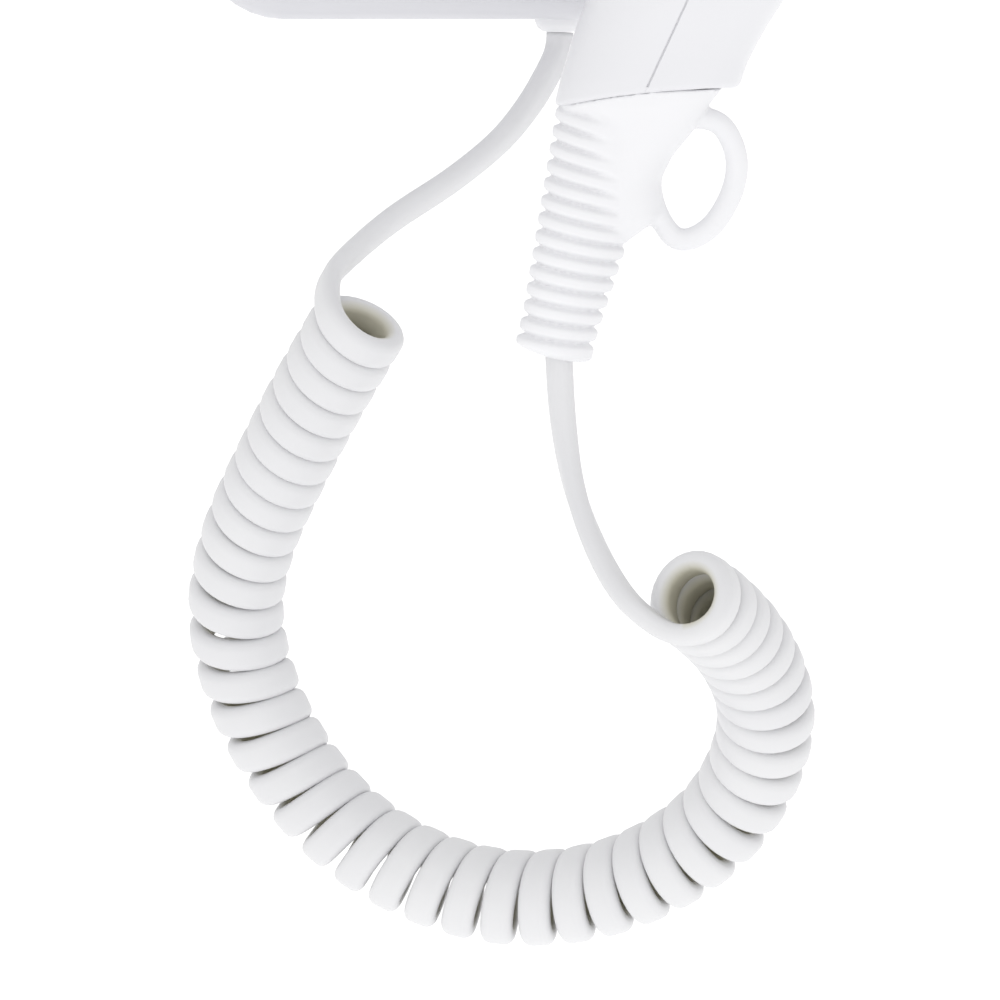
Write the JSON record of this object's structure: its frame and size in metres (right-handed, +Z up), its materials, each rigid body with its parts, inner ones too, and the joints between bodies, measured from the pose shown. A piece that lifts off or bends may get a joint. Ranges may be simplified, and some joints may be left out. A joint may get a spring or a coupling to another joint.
{
  "type": "wall mounted hair dryer",
  "caption": "Wall-mounted hotel hair dryer: white handset seated in a round holder on a wall base, joined to it by a flat curly cord.",
  "frame": {"origin": "middle of the wall plate's back face, on the wall", "axes": "+Z up, +Y into the wall, +X to the right as seen from the room; the handset's outlet points to -X"},
  "size_m": [0.1765, 0.112, 0.3498],
  "materials": {
    "white_plastic": "satin white moulding",
    "soft_white": "soft white PVC",
    "cord_white": "smooth white PVC sheath",
    "grey_plastic": "fine matte",
    "pale_plastic": "matte",
    "pad_grey": "matte foam",
    "dark_plastic": "matte",
    "steel": "bright",
    "brass": "satin",
    "mica": "mica sheet",
    "pilot_red": "clear tinted"
  },
  "bodies": {
    "base": {"wall_plate": "grey_plastic", "wall_screw_1": "steel", "wall_screw_2": "steel", "wall_screw_3": "steel", "wall_screw_4": "steel", "base_cover": "white_plastic", "base_gland": "soft_white", "cover_screw_1": "steel", "cover_screw_2": "steel", "rocker_bezel": "grey_plastic", "rocker_switch_body": "dark_plastic", "pilot_lens": "pilot_red", "terminal_block": "pale_plastic", "terminal_screw_1": "brass", "terminal_screw_2": "brass", "terminal_screw_3": "brass", "holder": "white_plastic", "holder_pad_1": "pad_grey", "holder_pad_2": "pad_grey", "cord_lead_base": "cord_white", "cord_coil": "cord_white"},
    "base_rocker": {"rocker": "white_plastic"},
    "handset": {"front_shell": "white_plastic", "rear_shell": "white_plastic", "shell_screw_1": "steel", "shell_screw_2": "steel", "outlet_grille": "grey_plastic", "motor_can": "steel", "motor_end_cap": "dark_plastic", "motor_mount": "pale_plastic", "mica_sheet_a": "mica", "mica_sheet_b": "mica", "heater_wire_front": "steel", "heater_wire_rear": "steel", "heat_shield": "mica", "thermostat": "steel", "thermal_fuse": "brass", "slide_switch_body": "dark_plastic", "push_switch_body": "dark_plastic", "cord_boot": "soft_white", "cord_clamp": "dark_plastic", "clamp_screw_1": "steel", "clamp_screw_2": "steel", "cord_lead_handset": "cord_white"},
    "fan_rotor": {"fan": "grey_plastic", "motor_shaft": "steel"},
    "slider": {"power_slider": "grey_plastic"},
    "button": {"cool_button": "grey_plastic"},
    "rear_cap": {"inlet_cap": "white_plastic", "inlet_grille": "grey_plastic", "filter_mesh": "dark_plastic"}
  },
  "joints": [
    {"name": "handset_lift_off", "type": "slide", "parent": "base", "child": "handset", "axis": [1, 0, 0], "range_m": [0, 0.052], "deforming": ["cord_lead_base", "cord_coil", "cord_lead_handset"]},
    {"name": "rocker_tilt", "type": "hinge", "parent": "base", "child": "base_rocker", "pos_m": [-0.036, -0.0375, -0.048], "axis": [1, 0, 0], "range_deg": [-14, 0]},
    {"name": "fan_spin", "type": "hinge", "parent": "handset", "child": "fan_rotor", "pos_m": [0.093, -0.076, 0.03], "axis": [1, 0, 0], "continuous": true},
    {"name": "power_slide", "type": "slide", "parent": "handset", "child": "slider", "axis": [0.2152, 0, 0.9766], "range_m": [0, 0.008]},
    {"name": "cool_press", "type": "slide", "parent": "handset", "child": "button", "axis": [0.956, 0, -0.2935], "range_m": [0, 0.0015], "stiffness_N_per_m": 500, "springref_m": -0.002},
    {"name": "rear_cap_pull", "type": "slide", "parent": "handset", "child": "rear_cap", "axis": [1, 0, 0], "range_m": [0, 0.012]}
  ]
}
